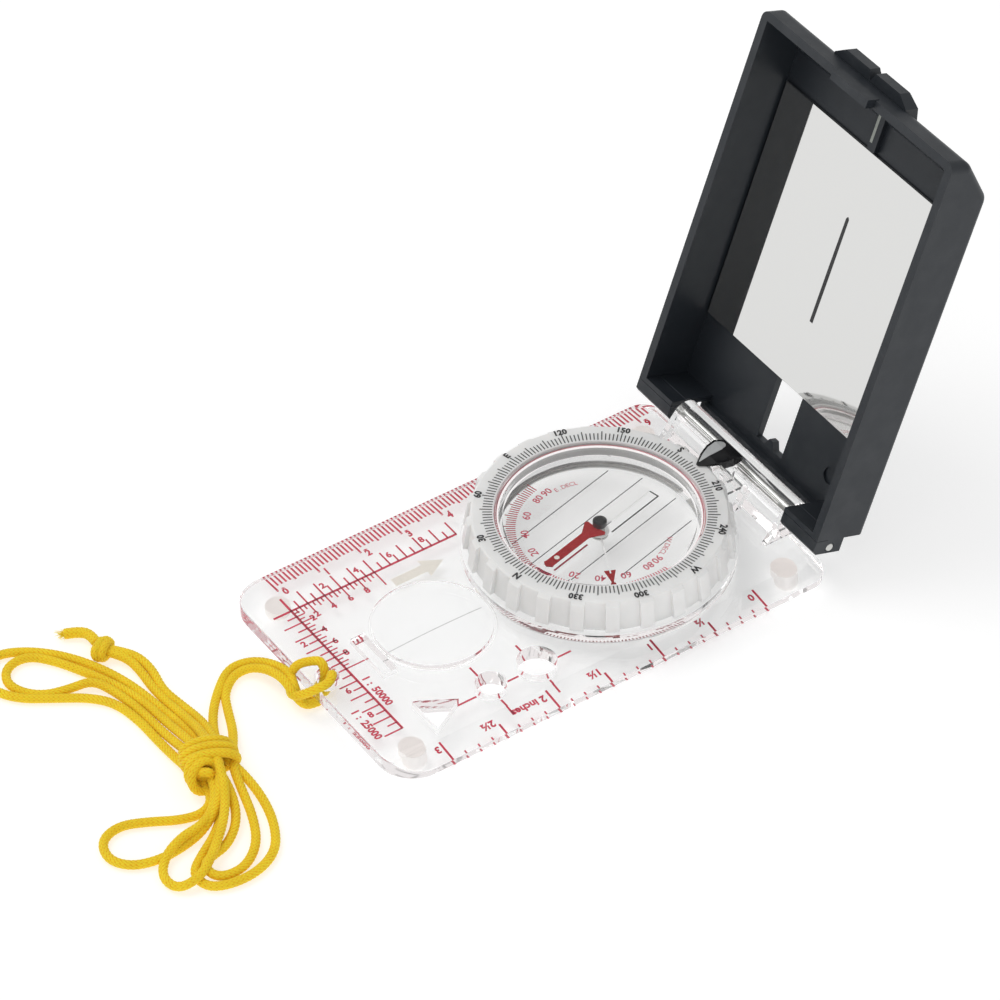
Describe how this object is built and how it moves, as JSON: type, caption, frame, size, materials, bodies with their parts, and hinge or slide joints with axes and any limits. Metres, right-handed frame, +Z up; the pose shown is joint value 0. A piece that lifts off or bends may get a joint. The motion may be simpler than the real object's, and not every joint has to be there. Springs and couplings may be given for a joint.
{
  "type": "sighting compass",
  "caption": "Clear base-plate compass with a turning dial, needle and clinometer, a hinged mirror sighting cover and a knotted cord lanyard.",
  "frame": {"origin": "on the dial's axis, on the surface that the feet stand on; midway between the plate's front edge and the back of the open cover", "axes": "+Z up, +Y from the lanyard end of the plate to the cover's hinge, +X across the plate towards its inch edge"},
  "size_m": [0.0802, 0.1967, 0.0981],
  "materials": {
    "clear_acrylic": "polished clear moulding",
    "clear_capsule": "polished clear moulding",
    "white_bezel": "translucent white moulding",
    "dark_cover": "fine-grained dark grey-blue plastic",
    "black_gloss": "gloss black",
    "red_paint": "red enamel",
    "white_paint": "white enamel",
    "luminous_cream": "luminous paint",
    "silicone": "translucent silicone",
    "mirror_glass": "silvered glass",
    "tape": "foam tape",
    "steel": "drawn steel",
    "magnet_steel": "dark magnet steel",
    "jewel": "synthetic sapphire",
    "cord_yellow": "braided polyester cord"
  },
  "bodies": {
    "base": {"base_plate": "clear_acrylic", "rubber_feet": "silicone", "travel_arrow": "luminous_cream", "index_pointer": "black_gloss", "lanyard_hitch": "cord_yellow", "lanyard_lead_left": "cord_yellow", "lanyard_lead_right": "cord_yellow", "lanyard_knot": "cord_yellow", "lanyard_upper_hank": "cord_yellow", "lanyard_lower_hank": "cord_yellow", "lanyard_end_knot": "cord_yellow", "lanyard_tail": "cord_yellow"},
    "dial": {"bezel_ring": "white_bezel", "bezel_retainer": "white_bezel", "capsule_cup": "clear_capsule", "capsule_lid": "clear_capsule", "scale_disc": "clear_capsule", "pivot_pin": "steel"},
    "needle": {"jewel_cup": "jewel", "needle_hub_cap": "black_gloss", "needle_magnet": "magnet_steel", "needle_north": "red_paint", "needle_south": "white_paint", "needle_lume_dot": "luminous_cream"},
    "clinometer": {"clinometer_arm": "white_paint", "clinometer_pointer": "red_paint"},
    "cover": {"mirror_cover": "dark_cover", "mirror": "mirror_glass", "mirror_tape": "tape", "hinge_pin": "steel"}
  },
  "joints": [
    {"name": "cover_hinge", "type": "hinge", "parent": "base", "child": "cover", "pos_m": [0, 0.0352, 0.0102], "axis": [1, 0, 0], "range_deg": [-71.2, 108.8]},
    {"name": "dial_turn", "type": "hinge", "parent": "base", "child": "dial", "pos_m": [0, 0, 0.009], "axis": [0, 0, 1], "continuous": true},
    {"name": "needle_turn", "type": "hinge", "parent": "dial", "child": "needle", "pos_m": [0, 0, 0.01], "axis": [0, 0, 1], "continuous": true},
    {"name": "clinometer_swing", "type": "hinge", "parent": "dial", "child": "clinometer", "pos_m": [0, 0, 0.0054], "axis": [0, 0, 1], "continuous": true}
  ]
}
